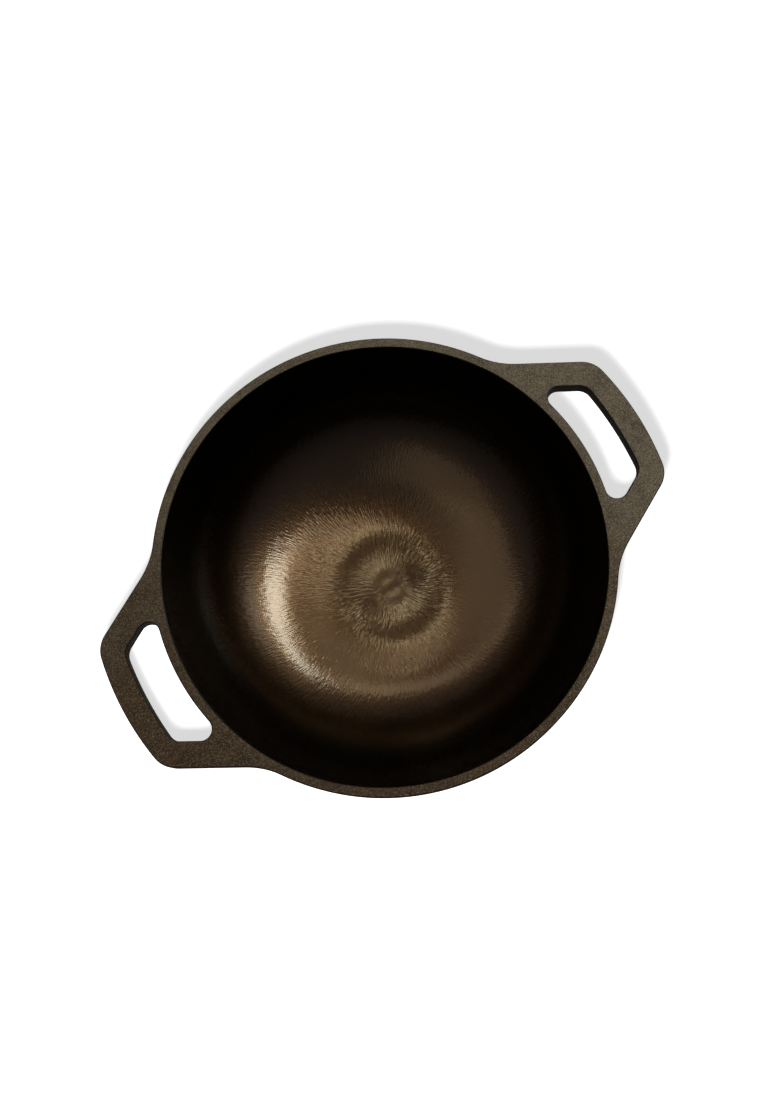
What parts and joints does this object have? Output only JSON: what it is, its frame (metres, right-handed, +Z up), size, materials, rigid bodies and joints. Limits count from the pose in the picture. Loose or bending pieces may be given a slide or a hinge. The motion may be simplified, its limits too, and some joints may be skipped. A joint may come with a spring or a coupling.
{
  "type": "kadai",
  "caption": "Deep round cast iron kadai with a flat base, a turned inside and a flat loop handle on each side, level with the rim.",
  "frame": {"origin": "middle of the flat base, at the bottom of the overall box", "axes": "+X towards handle_right, the overall length; +Z up, out of the bowl's mouth; +Y completes a right-handed frame"},
  "size_m": [0.3048, 0.24, 0.083],
  "materials": {
    "turned_iron": "lathe-turned inside and sand-cast outside, oil-seasoned dark brown",
    "sand_cast_iron": "as cast in sand, oil-seasoned dark brown-grey"
  },
  "bodies": {
    "root": {"bowl_floor": "turned_iron", "lower_wall": "turned_iron", "middle_wall": "turned_iron", "upper_wall": "turned_iron", "rim_band": "sand_cast_iron", "handle_right": "sand_cast_iron", "handle_left": "sand_cast_iron"}
  },
  "joints": []
}
